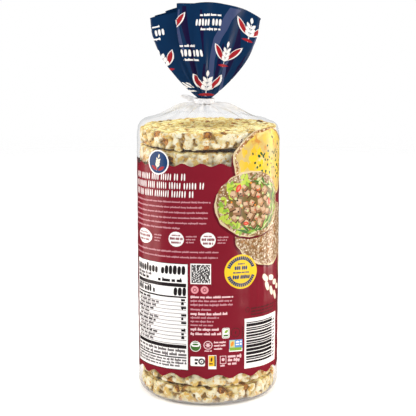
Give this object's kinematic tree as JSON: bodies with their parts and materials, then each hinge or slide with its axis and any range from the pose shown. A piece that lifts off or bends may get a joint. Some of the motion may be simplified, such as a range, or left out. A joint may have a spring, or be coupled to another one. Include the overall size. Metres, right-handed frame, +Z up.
{
  "type": "bag of puffed rice cakes",
  "caption": "Clear film bag, printed round its middle, over a stack of puffed rice cakes. Its neck is gathered by a tape, with a folded frill above.",
  "frame": {"origin": "centre of the flat base, on the surface that the bag stands on", "axes": "+Z up along the stack, -Y towards the front of the print, +X to its right"},
  "size_m": [0.1, 0.1, 0.2723],
  "materials": {
    "printed_film": "thin glossy film with dark red and navy print",
    "clear_film": "thin clear glossy film",
    "puffed_rice": "dry puffed grain with toasted flecks",
    "tape": "satin white"
  },
  "bodies": {
    "root": {"bag": "printed_film", "neck_tape": "tape"}
  },
  "joints": []
}
